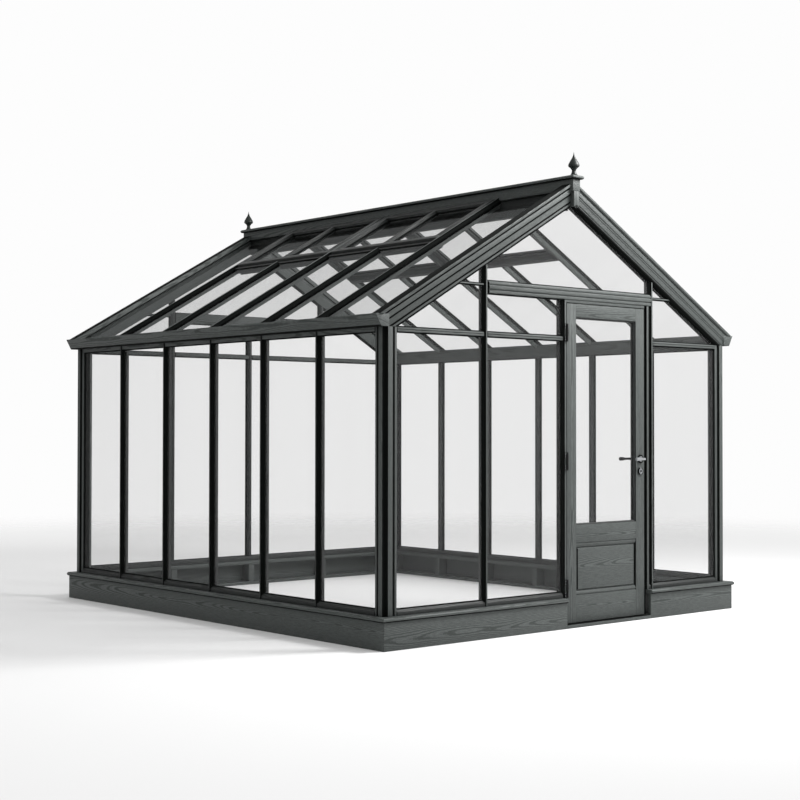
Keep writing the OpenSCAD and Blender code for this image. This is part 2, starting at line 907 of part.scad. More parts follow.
// A bead along a rail's edge, towards the panel, on both faces of the door
module rail_bead() {
    polygon([[6, 0], [6, 5], [2, 8], [2, 14], [8, bead_h], [leaf_t - 8, bead_h], [leaf_t - 2, 14],
        [leaf_t - 2, 8], [leaf_t - 6, 5], [leaf_t - 6, 0]]);
}

module door_rails() {
    color(timber) front_wall() {
        block([field_left, 0, leaf_lift], [field_right, leaf_t, panel_low]);
        block([field_left, 0, panel_high], [field_right, leaf_t, mid_rail_top]);
        block([field_left, 0, leaf_top - top_rail_h], [field_right, leaf_t, leaf_top]);
        translate([field_left, 0, 0]) {
            translate([0, 0, panel_low]) run_x(field_right - field_left) rail_bead();
            translate([0, 0, panel_high]) run_x(field_right - field_left) mirror([0, 1]) rail_bead();
        }
    }
}

// A plate between the beads with a bevelled field raised on both faces
module door_panel() {
    mid = leaf_t / 2;
    plate = 8;
    side = 16;
    edge = 6;
    bevel = 4;
    field = mid - 4;
    low = panel_low + bead_h;
    high = panel_high - bead_h;
    left = field_left + side;
    right = field_right - side;
    color(timber) front_wall() {
        block([field_left, mid - plate, low], [field_right, mid + plate, high]);
        intersection() {
            linear_extrude(far)
                polygon([[left, mid - plate], [left + bevel, mid - field],
                    [right - bevel, mid - field], [right, mid - plate], [right, mid + plate],
                    [right - bevel, mid + field], [left + bevel, mid + field],
                    [left, mid + plate]]);
            translate([field_left, 0, 0]) run_x(leaf_w)
                polygon([[mid - plate, low + edge], [mid - field, low + edge + bevel],
                    [mid - field, high - edge - bevel], [mid - plate, high - edge],
                    [mid + plate, high - edge], [mid + field, high - edge - bevel],
                    [mid + field, low + edge + bevel], [mid + plate, low + edge]]);
        }
    }
}

module door_glass() {
    mid = leaf_t / 2;
    color(pane) front_wall()
        block([field_left, mid - glass_t / 2, mid_rail_top],
            [field_right, mid + glass_t / 2, leaf_top - top_rail_h]);
}

module hinge_leaves() {
    gap = run_fit;
    color(metal)
        for (z = hinge_z) translate([hinge_x, hinge_y, z + knuckle_h + gap])
            difference() {
                union() {
                    cylinder(d = knuckle_d, h = knuckle_h - gap, $fn = fine);
                    block([0, knuckle_d / 2 - 2.5, 0],
                        [knuckle_d + 4, knuckle_d / 2 + 0.5, knuckle_h - gap]);
                }
                translate([0, 0, -cut])
                    cylinder(d = pin_d + 2 * gap, h = knuckle_h + 2 * cut, $fn = fine);
            }
}

// Roses around the spindle and keyhole plates below them, on both faces
module lock_plate(drop) {
    bore = drop == 0 ? lever_d + 2 * run_fit : 0;
    for (face = [-rose_t, leaf_t])
        translate([lever_x, face, lever_z - drop]) rotate([-90, 0, 0]) difference() {
            cylinder(d = drop == 0 ? rose_d : rose_d - 8, h = rose_t, $fn = fine);
            if (drop == 0) translate([0, 0, -cut]) cylinder(d = bore, h = rose_t + 2 * cut, $fn = fine);
        }
}

module lock_plates() {
    color(metal) front_wall() {
        lock_plate(0);
        lock_plate(lock_drop);
    }
}

// The bend from a lever's neck to its grip, and the grip that widens to a blunt end
module lever_grip() {
    r = lever_d / 2;
    wide = grip_d / 2;
    grip = lever_len - r - lever_bend;
    translate([-lever_bend, lever_bend, 0]) {
        rotate([0, 0, -90])
            rotate_extrude(angle = 90, $fn = fine)
                translate([lever_bend, 0]) circle(r, $fn = fine);
        translate([0, -lever_bend, 0]) rotate([0, -90, 0]) rotate_extrude($fn = fine)
            polygon([[0, 0], [r, 0], [r, grip * 0.3], [wide, grip * 0.62], [wide, grip - 5],
                [wide - 4, grip], [0, grip]]);
    }
}

// One spindle through the stile with a lever on each side, grips towards the hinges
module lever_handle() {
    neck = lever_out - lever_bend;
    color(metal) front_wall() translate([lever_x, 0, lever_z]) {
        translate([0, -neck, 0]) rotate([-90, 0, 0])
            cylinder(d = lever_d, h = leaf_t + 2 * neck, $fn = fine);
        translate([0, -lever_out, 0]) lever_grip();
        translate([0, leaf_t + lever_out, 0]) mirror([0, 1, 0]) lever_grip();
    }
}

gable_base_boards();
side_base_boards();
base_plates();
base_studs();
gable_sills();
side_sills();
threshold();
corner_posts();
bottom_rails();
wall_bars();
front_mullions();
back_mullions();
front_transoms();
back_transoms();
eaves_beams();
gutter_floors();
gutter_fronts();
gutter_ends();
barge_front_left();
barge_front_right();
barge_back_left();
barge_back_right();
ridge_beam();
king_blocks();
ridge_board();
ridge_cap();
finials();
roof_bars();
roof_cross_rails();
vent_rails();
vent_stiles();
side_glass();
gable_glass();
roof_glass();
vent_glass();
door_jambs();
door_frame_head();
hinge_pins();
door_stiles();
door_rails();
door_panel();
door_glass();
hinge_leaves();
lock_plates();
lever_handle();
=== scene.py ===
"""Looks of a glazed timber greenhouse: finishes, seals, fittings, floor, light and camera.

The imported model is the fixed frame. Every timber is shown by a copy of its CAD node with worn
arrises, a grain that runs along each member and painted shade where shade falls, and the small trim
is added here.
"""

import logging
import math
import random
from dataclasses import dataclass, field
from enum import Enum

import bmesh
import bpy
import numpy as np
from bmesh.types import BMesh, BMVert
from bpy.types import ID, Material, Mesh, Node, NodeSocket, NodeTree, Object
from mathutils import Euler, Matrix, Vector


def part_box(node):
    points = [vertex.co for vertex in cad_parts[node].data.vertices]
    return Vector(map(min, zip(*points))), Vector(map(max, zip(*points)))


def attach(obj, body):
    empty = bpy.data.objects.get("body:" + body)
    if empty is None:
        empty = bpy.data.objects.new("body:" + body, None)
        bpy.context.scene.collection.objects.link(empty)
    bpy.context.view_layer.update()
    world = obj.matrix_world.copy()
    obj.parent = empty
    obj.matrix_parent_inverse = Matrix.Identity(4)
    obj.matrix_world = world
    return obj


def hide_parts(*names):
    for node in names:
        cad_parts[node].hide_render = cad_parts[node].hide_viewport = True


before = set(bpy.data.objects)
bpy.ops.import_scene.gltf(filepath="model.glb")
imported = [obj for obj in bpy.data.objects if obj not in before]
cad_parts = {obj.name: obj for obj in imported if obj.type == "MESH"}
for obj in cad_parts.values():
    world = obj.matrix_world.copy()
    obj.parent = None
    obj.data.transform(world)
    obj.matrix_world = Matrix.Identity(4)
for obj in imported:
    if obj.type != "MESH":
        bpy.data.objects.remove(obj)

log = logging.getLogger("greenhouse")

MM = 0.001
GRAIN = "grain"
SEED = 20
MERGE_MM = 0.01
FLAT_DEG = 0.4
SQUARE_DEG = 3.0
SHARP_DEG = 40.0
MITRE_LIMIT = 0.05
ASKEW = 0.03
FROM_HEART_M = (0.03, 0.075)
OFF_HEART_M = 0.03
ALONG_LOG_M = 9
WAVE_RING_M = 0.314
WHITE = (1.0, 1.0, 1.0, 1.0)
RGBA = {"data_type": "RGBA"}
SMOOTH = {"interpolation_type": "SMOOTHSTEP"}
TIMES = {"operation": "MULTIPLY"}
MINUS = {"operation": "SUBTRACT"}
PLUS = {"operation": "ADD"}

Pair = tuple[float, float]
Pairs = tuple[Pair, ...]
Triple = tuple[float, float, float]
VectorPairs = list[tuple[Vector, Vector]]


class Body(Enum):
    """The rigid bodies that added pieces ride on."""

    BUILDING = "building"
    DOOR = "door"


class Slot(Enum):
    """The record's material slots. No added piece here is given one."""

    TIMBER = "painted_timber"
    HINGE = "hinge_steel"
    LEVER = "lever_metal"


def linear(code: str) -> tuple[float, float, float, float]:
    """Turns an sRGB hex colour into linear light.

    Args:
        code: Six hex digits after a hash.

    Returns:
        Red, green, blue and an alpha of one.
    """
    parts = [int(code[i:i + 2], 16) / 255 for i in (1, 3, 5)]
    light = [p / 12.92 if p <= 0.04045 else ((p + 0.055) / 1.055) ** 2.4 for p in parts]
    return (*light, 1.0)


def add_node(tree: NodeTree, kind: str, settings: dict | None = None,
             **inputs: object) -> Node:
    """Adds one node with its settings, plain values and links.

    Args:
        tree: The tree that gets the node.
        kind: The node's Blender type name.
        settings: Properties of the node itself.
        inputs: Values, output sockets, or nodes for their first output. Each is keyed by the
            input's name with "_" for a space, or by "i" and the input's number.

    Returns:
        The new node.
    """
    node = tree.nodes.new(kind)
    for key, value in (settings or {}).items():
        setattr(node, key, value)
    for key, value in inputs.items():
        number = key[1:]
        by_number = key[0] == "i" and number.isdigit()
        socket = node.inputs[int(number) if by_number else key.replace("_", " ")]
        if isinstance(value, Node):
            value = value.outputs[0]
        if isinstance(value, NodeSocket):
            tree.links.new(value, socket)
        else:
            socket.default_value = value
    return node


def blank_material(name: str) -> tuple[Material, NodeTree]:
    """Makes an empty node material.

    Args:
        name: The material's name.

    Returns:
        The material and its tree.
    """
    material = bpy.data.materials.new(name)
    material.use_nodes = True
    material.node_tree.nodes.clear()
    return material, material.node_tree


def middle_of(node: str) -> Vector:
    """Finds the middle of a CAD node's box."""
    low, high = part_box(node)
    return (low + high) / 2


def put(name: str, data: ID) -> Object:
    """Puts a new object in the scene.

    Args:
        name: Its name.
        data: Its mesh, lamp or camera data.

    Returns:
        The object.
    """
    made = bpy.data.objects.new(name, data)
    bpy.context.scene.collection.objects.link(made)
    return made


# ---- Finishes ----


@dataclass(frozen=True)
class StainedSoftwood:
    """Planed softwood under a dark grey-green microporous stain, brushed so its grain stands up.

    The stain is thin, so the eye gets the growth rings as darker lines and as relief, with a low
    satin sheen. Ring lines are drawn about twice as wide as in life, so that they show.

    Args:
        name: What the finish is.
        face: Colour of the plain wood.
        ring: Colour of the ring lines.
        pale: Colour of the raised fibres.
        ring_mm: Distance from ring to ring.
        pore_mm: Width of a pore's dash.
        dash_per_m: How many dashes follow each other along a metre.
        wander_mm: How far the rings wander from round.
        bend_per_m: How often they wander along and across a member.
        relief_mm: Height of the raised grain.
        roughness: Roughness of the plain wood.
        ring_rougher: How much rougher the ring lines are.
        ring_waver: How unevenly the rings run.
        ring_part: Part of the wave that makes a ring line.
        ring_full: Strength that gives a ring line its full colour.
        dash_part: Part of the pores' noise that makes a dash.
        relief_share: Strength of the relief.
    """

    name: str = "stained_softwood"
    face: str = "#373b3a"
    ring: str = "#292e2c"
    pale: str = "#484d4b"
    ring_mm: float = 5.0
    pore_mm: float = 1.3
    dash_per_m: float = 26.0
    wander_mm: float = 20.0
    bend_per_m: Triple = (1.1, 7.0, 7.0)
    relief_mm: float = 0.6
    roughness: float = 0.55
    ring_rougher: float = 0.2
    ring_waver: float = 1.2
    ring_part: Pair = (0.45, 1.0)
    ring_full: float = 0.55
    dash_part: Pair = (0.4, 0.6)
    relief_share: float = 0.6

    def build(self) -> Material:
        """Builds the material from the members' own grain coordinates.

        Returns:
            The material.
        """
        material, tree = blank_material(self.name)
        grain = add_node(tree, "ShaderNodeAttribute", {"attribute_name": GRAIN}).outputs["Vector"]
        slow = add_node(tree, "ShaderNodeMapping", Vector=grain, Scale=self.bend_per_m)
        drift = add_node(tree, "ShaderNodeTexNoise", Vector=slow, Scale=1.0, Detail=2.0)
        centred = add_node(tree, "ShaderNodeVectorMath", MINUS, i0=drift.outputs["Color"],
                           i1=(0.5, 0.5, 0.5))
        wander = add_node(tree, "ShaderNodeVectorMath", {"operation": "SCALE"}, i0=centred,
                          Scale=self.wander_mm * MM * 2)
        bent = add_node(tree, "ShaderNodeVectorMath", PLUS, i0=grain, i1=wander)
        rings = add_node(tree, "ShaderNodeTexWave",
                         {"wave_type": "RINGS", "rings_direction": "X", "wave_profile": "SIN"},
                         Vector=bent, Scale=WAVE_RING_M / (self.ring_mm * MM),
                         Distortion=self.ring_waver, Detail=2.0, Detail_Scale=0.6)
        across = 0.5 / (self.pore_mm * MM)
        streaks = add_node(tree, "ShaderNodeMapping", Vector=grain,
                           Scale=(self.dash_per_m, across, across))
        pores = add_node(tree, "ShaderNodeTexNoise", Vector=streaks, Scale=1.0, Detail=3.0,
                         Roughness=0.6)
        dash = add_node(tree, "ShaderNodeMapRange", SMOOTH, Value=pores.outputs["Fac"],
                        From_Min=self.dash_part[0], From_Max=self.dash_part[1])
        sharp = add_node(tree, "ShaderNodeMapRange", SMOOTH, Value=rings.outputs["Fac"],
                         From_Min=self.ring_part[0], From_Max=self.ring_part[1])
        line = add_node(tree, "ShaderNodeMath", TIMES, i0=sharp, i1=pores.outputs["Fac"])
        depth = add_node(tree, "ShaderNodeMapRange", Value=line, From_Max=self.ring_full)
        ground = add_node(tree, "ShaderNodeMix", RGBA, i0=dash, i6=linear(self.face),
                          i7=linear(self.pale))
        colour = add_node(tree, "ShaderNodeMix", RGBA, i0=depth, i6=ground.outputs[2],
                          i7=linear(self.ring))
        height = add_node(tree, "ShaderNodeMath", MINUS, i0=dash, i1=depth)
        bump = add_node(tree, "ShaderNodeBump", Strength=self.relief_share,
                        Distance=self.relief_mm * MM, Height=height)
        sheen = add_node(tree, "ShaderNodeMapRange", Value=depth, To_Min=self.roughness,
                         To_Max=self.roughness + self.ring_rougher)
        shader = add_node(tree, "ShaderNodeBsdfPrincipled", Base_Color=colour.outputs[2],
                          Roughness=sheen, Normal=bump)
        add_node(tree, "ShaderNodeOutputMaterial", Surface=shader)
        return material


@dataclass(frozen=True)
class FloatGlass:
    """Clear toughened float glass, whose mirror grows towards grazing.

    Args:
        name: What the finish is.
        tint: Colour of what is seen through one face.
        mirror: Colour of what it mirrors.
        ior: Its refractive index.
        polish: Roughness of the mirror.
        veil: Share of a pale film on each face.
    """

    name: str = "float_glass"
    tint: str = "#fcfcfc"
    mirror: str = "#707272"
    ior: float = 1.52
    polish: float = 0.02
    veil: float = 0.0

    def build(self) -> Material:
        """Builds the material.

        Returns:
            The material.
        """
        material, tree = blank_material(self.name)
        clear = add_node(tree, "ShaderNodeBsdfTransparent", Color=linear(self.tint))
        mirror = add_node(tree, "ShaderNodeBsdfGlossy", Roughness=self.polish,
                          Color=linear(self.mirror))
        share = add_node(tree, "ShaderNodeFresnel", IOR=self.ior)
        side = add_node(tree, "ShaderNodeNewGeometry").outputs["Backfacing"]
        outer = add_node(tree, "ShaderNodeMath", MINUS, i0=1.0, i1=side)
        front = add_node(tree, "ShaderNodeMath", TIMES, i0=share, i1=outer)
        both = add_node(tree, "ShaderNodeMixShader", i0=front, i1=clear, i2=mirror)
        dust = add_node(tree, "ShaderNodeBsdfDiffuse", Color=WHITE)
        film = add_node(tree, "ShaderNodeMixShader", i0=self.veil, i1=both, i2=dust)
        add_node(tree, "ShaderNodeOutputMaterial", Surface=film)
        return material


@dataclass(frozen=True)
class SmallPart:
    """A small part's finish: one colour with a fine mottle in its sheen and relief.

    Args:
        name: What the finish is.
        face: Its colour.
        roughness: Its middle roughness.
        grit_mm: Size of the mottle, drawn coarse enough to show.
        relief_mm: Height of the mottle.
        metallic: One for bare metal.
        gloss: Strength of the clear reflection, 0.5 for a plain paint.
        inner: Another colour, painted shade, on the far side of a plane square to Y.
        split_m: Where that plane is.
        worn: How many times brighter the mottle's bright end is.
        sheen_spread: How far the roughness swings to each side.
        relief_share: Strength of the relief.
    """

    name: str
    face: str
    roughness: float
    grit_mm: float
    relief_mm: float = 0.05
    metallic: float = 0.0
    gloss: float = 0.5
    inner: str | None = None
    split_m: float = 0.0
    worn: float = 1.5
    sheen_spread: float = 0.08
    relief_share: float = 0.4

    def build(self) -> Material:
        """Builds the material on the piece's own place.

        Returns:
            The material.
        """
        material, tree = blank_material(self.name)
        place = add_node(tree, "ShaderNodeTexCoord").outputs["Object"]
        grit = add_node(tree, "ShaderNodeTexNoise", Vector=place, Scale=1.0 / (self.grit_mm * MM),
                        Detail=2.0)
        base = linear(self.face)
        worn = tuple(min(1.0, c * self.worn) for c in base[:3]) + (1.0,)
        tint = add_node(tree, "ShaderNodeMix", RGBA, i0=grit.outputs["Fac"], i6=base,
                        i7=worn).outputs[2]
        if self.inner is not None:
            across = add_node(tree, "ShaderNodeSeparateXYZ", Vector=place)
            far = add_node(tree, "ShaderNodeMath", {"operation": "GREATER_THAN"},
                           i0=across.outputs["Y"], i1=self.split_m)
            tint = add_node(tree, "ShaderNodeMix", RGBA, i0=far, i6=tint,
                            i7=linear(self.inner)).outputs[2]
        sheen = add_node(tree, "ShaderNodeMapRange", Value=grit.outputs["Fac"],
                         To_Min=self.roughness - self.sheen_spread,
                         To_Max=self.roughness + self.sheen_spread)
        bump = add_node(tree, "ShaderNodeBump", Strength=self.relief_share,
                        Distance=self.relief_mm * MM, Height=grit.outputs["Fac"])
        shader = add_node(tree, "ShaderNodeBsdfPrincipled", Base_Color=tint, Roughness=sheen,
                          Metallic=self.metallic, Normal=bump, Specular_IOR_Level=self.gloss)
        add_node(tree, "ShaderNodeOutputMaterial", Surface=shader)
        return material


@dataclass
class Finishes:
    """Every finish on the building, built once.

    The roof's glass is clean, and the upright glass has a faint film. The outer half of the lever
    is bright, and its inner half is dark with painted shade.
    """

    timber: Material = field(init=False)
    glass: Material = field(init=False)
    wall_glass: Material = field(init=False)
    seal: Material = field(init=False)
    finial: Material = field(init=False)
    hinge: Material = field(init=False)
    lever: Material = field(init=False)
    ring: Material = field(init=False)
    dim: Material = field(init=False)

    def __post_init__(self) -> None:
        """Builds the materials."""
        self.timber = StainedSoftwood().build()
        self.glass = FloatGlass().build()
        self.wall_glass = FloatGlass("float_glass_with_a_film", veil=0.01).build()
        # Matt black for the seals and lock plates, and also black painted shade on timber faces, in
        # screw slots and in keyholes.
        self.seal = SmallPart("matt_black_seal_and_painted_shade", "#060807", roughness=0.88, grit_mm=6.0,
                              gloss=0.08).build()
        self.finial = SmallPart("painted_cast_iron", "#0e1411", roughness=0.45, grit_mm=5.0,
                                relief_mm=0.2, gloss=0.3).build()
        self.hinge = SmallPart("black_powder_coat", "#0b0c0c", roughness=0.6, grit_mm=1.5,
                               gloss=0.25).build()
        # The lever's inner half, inside the door, is dark with painted shade.
        self.lever = SmallPart("satin_steel_painted_shade_inside", "#8e9092", roughness=0.3, grit_mm=2.0,
                               relief_mm=0.02, metallic=1.0, inner="#232425",
                               split_m=middle_of("door_stiles").y).build()
        self.ring = SmallPart("aged_steel", "#7a7c7e", roughness=0.38, grit_mm=2.0,
                              relief_mm=0.02, metallic=1.0).build()
        # A dim copy of the timber: painted shade on members and faces that lie in shade.
        self.dim = StainedSoftwood("shaded_softwood", face="#191c1b", ring="#0f1211",
                                   pale="#242827").build()


# ---- Joinery ----


def clean_copy(node: str) -> BMesh:
    """Copies a CAD node's mesh with its doubles merged and its flat faces whole.

    Args:
        node: The CAD node's name.

    Returns:
        The copy, which the caller frees.
    """
    mesh = bmesh.new()
    mesh.from_mesh(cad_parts[node].data)
    bmesh.ops.remove_doubles(mesh, verts=mesh.verts, dist=MERGE_MM * MM)
    bmesh.ops.dissolve_limit(mesh, angle_limit=math.radians(FLAT_DEG), verts=mesh.verts,
                             edges=mesh.edges)
    return mesh


def members(mesh: BMesh) -> list[list[BMVert]]:
    """Splits a mesh into its separate members.

    Args:
        mesh: The mesh.

    Returns:
        Each member's vertices.
    """
    left, parts = set(mesh.verts), []
    while left:
        found, stack = [], [left.pop()]
        while stack:
            vert = stack.pop()
            found.append(vert)
            near = {e.other_vert(vert) for e in vert.link_edges} & left
            left -= near
            stack.extend(near)
        parts.append(sorted(found, key=lambda v: v.index))
    return sorted(parts, key=lambda part: part[0].index)


def member_axes(points: np.ndarray) -> np.ndarray:
    """Finds the way a member runs, from the spread of its corners.

    Args:
        points: The member's vertices, centred.

    Returns:
        Rows for its length, width and thickness.
    """
    _, _, axes = np.linalg.svd(points, full_matrices=False)
    for row in axes:
        near = np.eye(3)[np.argmax(np.abs(row))]
        if np.abs(row @ near) > math.cos(math.radians(SQUARE_DEG)):
            row[:] = near
    return axes


def write_grain(mesh: Mesh, seed: int) -> None:
    """Gives every member its own grain coordinates: along, across and through, in metres.

    Each member is cut from its own place in the log, a little askew to the log's heart.

    Args:
        mesh: The mesh, as it will be shown.
        seed: Seed of the members' places in the log.
    """
    draw = random.Random(seed)
    made = bmesh.new()
    made.from_mesh(mesh)
    made.verts.index_update()
    values = np.zeros((len(mesh.vertices), 3))
    for part in members(made):
        places = np.array([v.co for v in part])
        centre = (places.min(0) + places.max(0)) / 2
        axes = member_axes(places - centre)
        local = (places - centre) @ axes.T
        askew, from_heart = draw.uniform(-ASKEW, ASKEW), draw.uniform(*FROM_HEART_M)
        local[:, 2] += local[:, 0] * askew + from_heart
        local[:, 1] += draw.uniform(-OFF_HEART_M, OFF_HEART_M)
        local[:, 0] += draw.uniform(0, ALONG_LOG_M)
        values[[v.index for v in part]] = local
    made.free()
    store = mesh.attributes.new(GRAIN, "FLOAT_VECTOR", "POINT")
    store.data.foreach_set("vector", values.astype(np.float32).ravel())


def add_object(name: str, mesh: Mesh, body: Body,
               material: Material | None = None) -> Object:
    """Puts a finished mesh in the scene on its body.

    Args:
        name: The piece's name.
        mesh: Its mesh, in place.
        body: The body that it rides on.
        material: Its material, or none where the mesh brings its own.

    Returns:
        The object.
    """
    piece = put(name, mesh)
    if material is not None:
        mesh.materials.clear()
        mesh.materials.append(material)
    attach(piece, body.value)
    return piece


def baked(holder: Object, name: str) -> Mesh:
    """Keeps an object's mesh as its modifiers show it, and removes the object.

    Args:
        holder: The object with its modifiers.
        name: The new mesh's name.

    Returns:
        The mesh.
    """
    graph = bpy.context.evaluated_depsgraph_get()
    made = bpy.data.meshes.new_from_object(holder.evaluated_get(graph))
    source = holder.data
    holder.modifiers.clear()
    bpy.data.objects.remove(holder)
    bpy.data.meshes.remove(source)
    made.name = name
    return made


def closed_mesh(shape: BMesh, name: str) -> Mesh:
    """Turns a working mesh into a mesh whose faces look outwards, and frees it.

    Args:
        shape: The working mesh.
        name: The new mesh's name.

    Returns:
        The mesh.
    """
    bmesh.ops.recalc_face_normals(shape, faces=shape.faces)
    made = bpy.data.meshes.new(name)
    shape.to_mesh(made)
    shape.free()
    return made


def loft(shape: BMesh, rings: list[list[Vector]], closed: bool = True) -> None:
    """Adds the faces between matching rings of corners.

    Args:
        shape: The working mesh.
        rings: The rings, in order.
        closed: Whether the last joins the first.
    """
    verts = [[shape.verts.new(p) for p in ring] for ring in rings]
    count = len(verts[0])
    after = verts[1:] + verts[:1] if closed else verts[1:]
    for near, far in zip(verts, after):
        for i in range(count):
            j = (i + 1) % count
            shape.faces.new((near[i], near[j], far[j], far[i]))


@dataclass(frozen=True)
class Shell:
    """The outer faces of the four walls and of the two slopes, to measure depths from."""

    half_x: float
    half_y: float
    bar_top: float
    slope: float

    def wall_depth(self, place: Vector) -> float:
        """Measures how many millimetres a point lies in from the nearest wall's outer face."""
        return min(self.half_x - abs(place.x), self.half_y - abs(place.y)) / MM

    def wall_way(self, place: Vector) -> Vector:
        """Finds which way the nearest wall faces.

        Args:
            place: The point.

        Returns:
            The wall's outward direction.
        """
        if self.half_x - abs(place.x) < self.half_y - abs(place.y):
            return Vector((math.copysign(1, place.x), 0, 0))
        return Vector((0, math.copysign(1, place.y), 0))

    def slope_way(self, place: Vector) -> Vector:
        """Finds which way the slope over a point faces."""
        return Vector((math.copysign(math.sin(self.slope), place.x), 0, math.cos(self.slope)))

    def roof_depth(self, place: Vector) -> float:
        """Measures how many millimetres a point lies below the roof bars' tops, square to them."""
        fall = math.tan(self.slope) * abs(place.x)
        return (self.bar_top - fall - place.z) * math.cos(self.slope) / MM


class Recess(Enum):
    """Which faces of a timber get painted shade: black in rebates, grooves, shadow gaps, undersides
    and tops where shade falls, or a dim copy of the timber on members that lie in shade.
    """

    NONE = "none"
    WALL = "sides of wall members out to the glass"
    ROOF = "sides of roof members out to the glass"
    BARGE = "grooves and soffit of a barge board"
    SOFFIT = "the soffit of a barge board whose face is plain"
    BAR = "bars that are dark all over, black beside the glass"
    MULLION = "sides of mullions, their arrises too"
    TREAD = "tops"
    # Dim painted shade over the whole member.
    DARK = "none, but the whole member is dark"
    UNDER = "undersides"
    LEAF = "edges of the door's timbers"


class Tone(Enum):
    """The finishes of a timber's faces, by material number: plain timber, black painted shade and
    dim painted shade.
    """

    TIMBER = 0
    BLACK = 1
    DIM = 2


@dataclass
class Joinery:
    """Turns timber CAD nodes into members with worn arrises and their own grain, with painted shade
    on the faces where shade falls.

    Args:
        finishes: The building's finishes.
        shell: Its outer faces.
        soften_deg: Edges sharper than this get a worn arris.
        arris_steps: How many facets round it off.
        skin_mm: Faces less deep than this belong to a member's front.
        seat_mm: Depth of the rebates that the glass sits in.
        grooves_mm: Where a barge board gets black painted shade, measured down square to the slope.
        soffit_mm: The same for a board whose face is plain.
        under_mm: Depth of the undersides that get black painted shade.
        leaf_mm: Depth of the door's edges.
        gable_mm: Depth of the barge boards' grooves and soffits.
        groove_floor_mm: Depths of the floors of the grooves and of the set-back jamb.
        square: Cosine over which a face looks the wall's or the slope's own way.
        leans: Cosine over which it leans that way.
        shows: Cosine over which a bar's worn arris isn't black.
        made: How many nodes were shown.
    """

    finishes: Finishes
    shell: Shell
    soften_deg: float = 25.0
    arris_steps: int = 2
    skin_mm: float = 1.5
    seat_mm: float = 40.0
    grooves_mm: Pairs = ((3.0, 13.2), (41.0, 51.5), (84.0, 93.5), (106.5, 160.0))
    soffit_mm: Pairs = ((94.0, 160.0),)
    under_mm: float = 90.0
    leaf_mm: float = 43.0
    gable_mm: float = 60.0
    groove_floor_mm: Pair = (10.5, 23.0)
    square: float = 0.95
    leans: float = 0.7
    shows: float = 0.92
    made: int = 0

    def tone(self, place: Vector, way: Vector, recess: Recess) -> Tone:
        """Picks the finish of one face.

        Args:
            place: The face's middle.
            way: The face's normal.
            recess: Which faces of the member get black or dim painted shade.

        Returns:
            The face's tone.
        """
        up, down = way.z > 0.5, way.z < -0.5
        if recess is Recess.UNDER:
            return Tone.BLACK if down else Tone.TIMBER
        if recess is Recess.TREAD:
            return Tone.BLACK if up else Tone.TIMBER
        if recess is Recess.DARK:
            return Tone.DIM
        below, slope = self.shell.roof_depth(place), way.dot(self.shell.slope_way(place))
        if recess is Recess.ROOF:
            side = self.skin_mm < below < self.seat_mm and slope < self.square
            return Tone.BLACK if side else Tone.TIMBER
        depth, facing = self.shell.wall_depth(place), way.dot(self.shell.wall_way(place))
        if recess is Recess.LEAF:
            edge = self.skin_mm < depth < self.leaf_mm and abs(facing) < 0.5
            return Tone.BLACK if edge and way.z < 0.5 else Tone.TIMBER
        if recess in (Recess.BARGE, Recess.SOFFIT):
            grooves = self.grooves_mm if recess is Recess.BARGE else self.soffit_mm
            sunk = depth < self.gable_mm and any(low < below < high for low, high in grooves)
            return Tone.BLACK if sunk or slope > self.leans else Tone.TIMBER
        squarest = self.leans if recess is Recess.WALL else self.shows
        deepest = self.under_mm if down else self.seat_mm
        side = facing < squarest and way.z < 0.5 and self.skin_mm < depth < deepest
        near, far = self.groove_floor_mm
        if side or (facing > self.square and near < depth < far):
            return Tone.BLACK
        dim = recess is Recess.BAR or (recess is Recess.MULLION and depth > self.seat_mm)
        return Tone.DIM if dim else Tone.TIMBER

    def finish_faces(self, mesh: Mesh, recess: Recess) -> None:
        """Gives each face its finish, with black or dim painted shade where shade falls.

        Args:
            mesh: The member's mesh.
            recess: Which faces get painted shade.
        """
        # The seal's matt black and the dim timber are painted shade on these faces.
        mesh.materials.append(self.finishes.seal)
        mesh.materials.append(self.finishes.dim)
        for face in mesh.polygons:
            face.material_index = self.tone(face.center, face.normal, recess).value

    def show(self, node: str, body: Body, arris_mm: float, recess: Recess = Recess.NONE) -> None:
        """Shows one timber node by a softened copy.

        Args:
            node: The CAD node.
            body: The body that it rides on.
            arris_mm: Width of the worn arris.
            recess: Which of its faces get painted shade.
        """
        source = clean_copy(node)
        mesh = bpy.data.meshes.new(f"{node}_sharp")
        source.to_mesh(mesh)
        source.free()
        holder = put(f"{node}_sharp", mesh)
        worn = holder.modifiers.new("arris", "BEVEL")
        worn.width = arris_mm * MM
        worn.segments = self.arris_steps
        worn.limit_method = "ANGLE"
        worn.angle_limit = math.radians(self.soften_deg)
        worn.use_clamp_overlap = True
        soft = baked(holder, f"{node}_timber")
        soft.shade_smooth()
        soft.set_sharp_from_angle(angle=math.radians(SHARP_DEG))
        self.made += 1
        write_grain(soft, SEED + self.made)
        piece = add_object(f"{node}_timber", soft, body, self.finishes.timber)
        if recess is not Recess.NONE:
            self.finish_faces(soft, recess)
        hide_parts(node)
        log.info("timber %s: %d faces", node, len(soft.polygons))


def paint_node(node: str, material: Material) -> None:
    """Gives a CAD node that stays its material.

    Args:
        node: The CAD node.
        material: The material.
    """
    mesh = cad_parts[node].data
    mesh.materials.clear()
    mesh.materials.append(material)
    log.info("finish %s on %s", material.name, node)


# ---- Sub-assemblies ----


